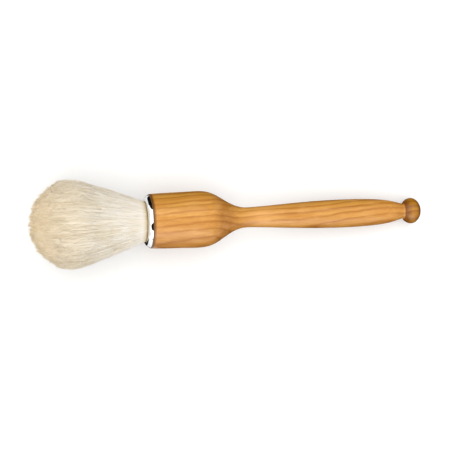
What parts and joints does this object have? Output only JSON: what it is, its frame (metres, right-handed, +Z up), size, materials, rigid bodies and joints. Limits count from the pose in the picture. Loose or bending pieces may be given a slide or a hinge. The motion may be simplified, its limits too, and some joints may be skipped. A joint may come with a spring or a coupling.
{
  "type": "neck duster brush",
  "caption": "Barber's neck duster: a full domed cream hair head in a bright bevelled metal collar, on a long turned wooden handle with a round end knob.",
  "frame": {"origin": "the point on the table under the middle of the brush's box, as it lies on the underside of its hair and on its knob", "axes": "+X along the brush from the hair to the knob, +Z up from the table, +Y across the brush"},
  "size_m": [0.2392, 0.0512, 0.0501],
  "materials": {
    "lacquered_wood": "satin",
    "chrome_plate": "polished",
    "hair": "matte",
    "thread": "matte",
    "resin": "gloss",
    "adhesive": "satin"
  },
  "bodies": {
    "root": {"handle": "lacquered_wood", "ferrule": "chrome_plate", "hair_knot": "hair", "binding_thread": "thread", "root_plug": "resin", "adhesive_bed": "adhesive"}
  },
  "joints": []
}
